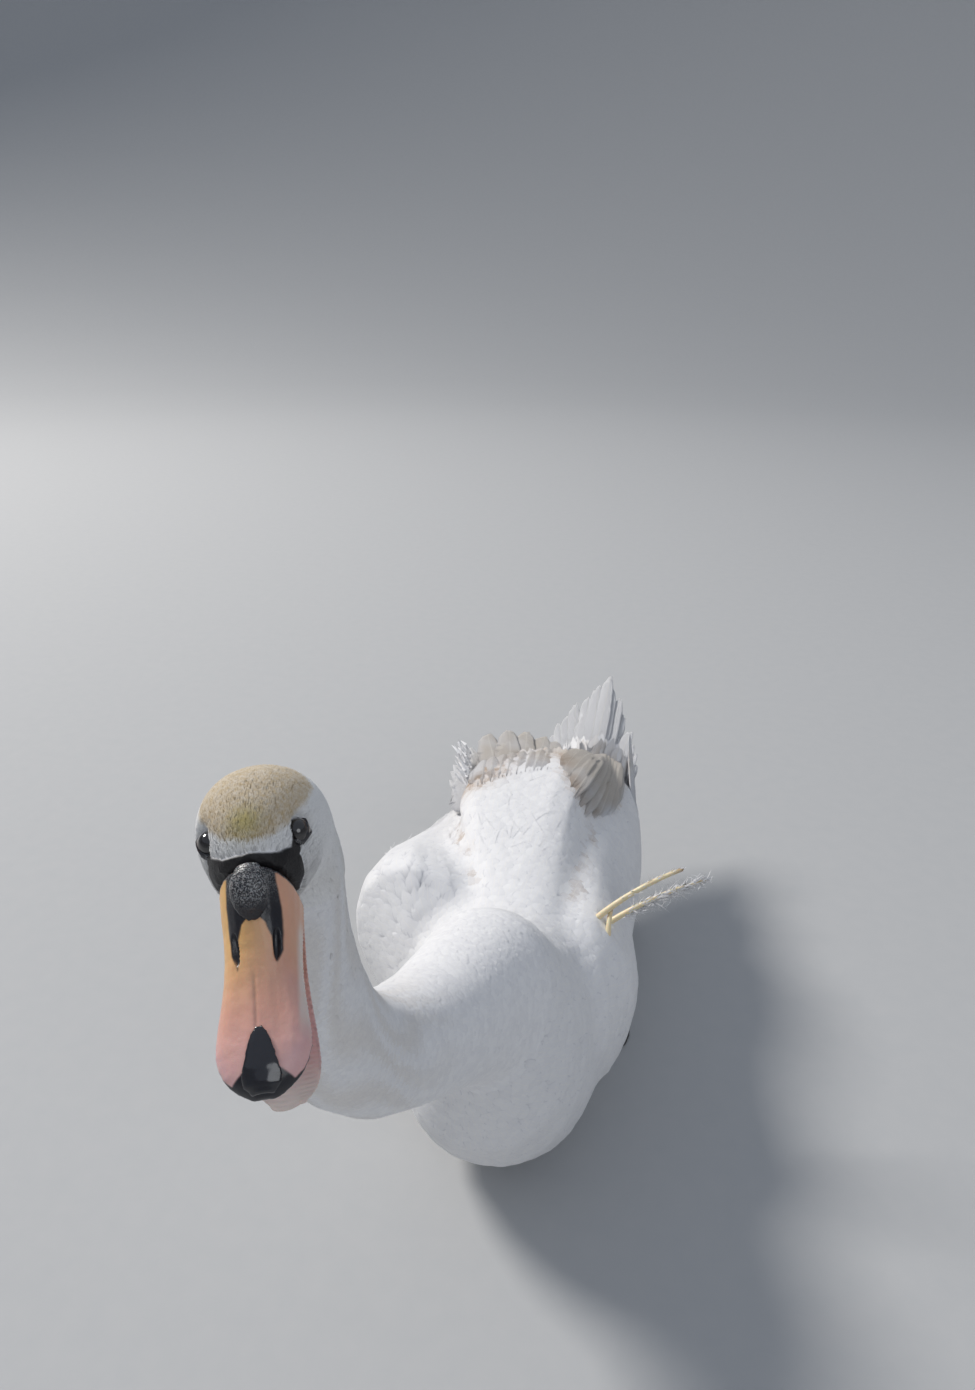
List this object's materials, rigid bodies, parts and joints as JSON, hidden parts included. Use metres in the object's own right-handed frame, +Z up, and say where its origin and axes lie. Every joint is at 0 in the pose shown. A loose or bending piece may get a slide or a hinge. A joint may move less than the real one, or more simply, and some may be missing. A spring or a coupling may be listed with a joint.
{
  "type": "mute swan",
  "caption": "Life-size mute swan resting on its belly, feet tucked under, neck stretched forward and up, head turned and bill slightly open.",
  "frame": {"origin": "middle of the flat of the belly, on the floor", "axes": "+Z up, -Y the way the swan faces, +X its left side"},
  "size_m": [0.3923, 1.1317, 0.6415],
  "materials": {
    "plumage": "soft white feathers, tinted buff on the crown and grey-brown on the inner wing feathers",
    "bill": "salmon pink horn with orange sides and a dark edge, satin",
    "mouth": "moist pink skin",
    "horn": "black horn, glossy on the nail and finely pitted on the knob",
    "eye": "wet dark brown eye",
    "foot_skin": "dark grey scaly skin",
    "quill": "cream feather shaft, satin"
  },
  "bodies": {
    "root": {"trunk": "plumage", "neck_lower": "plumage", "neck_middle": "plumage", "neck_upper": "plumage", "head": "plumage", "wing_left": "plumage", "wing_right": "plumage", "mantle": "plumage", "tertials": "plumage", "wing_fan_right": "plumage", "primaries_left": "plumage", "primaries_right": "plumage", "tail": "plumage", "bill_upper": "bill", "bill_lower": "bill", "tongue": "mouth", "bill_knob": "horn", "bill_nail": "horn", "eye_left": "eye", "eye_right": "eye", "leg_left": "foot_skin", "leg_right": "foot_skin", "foot_left": "foot_skin", "foot_right": "foot_skin", "quill_upper": "quill", "quill_lower": "quill", "quill_stub": "quill"}
  },
  "joints": []
}
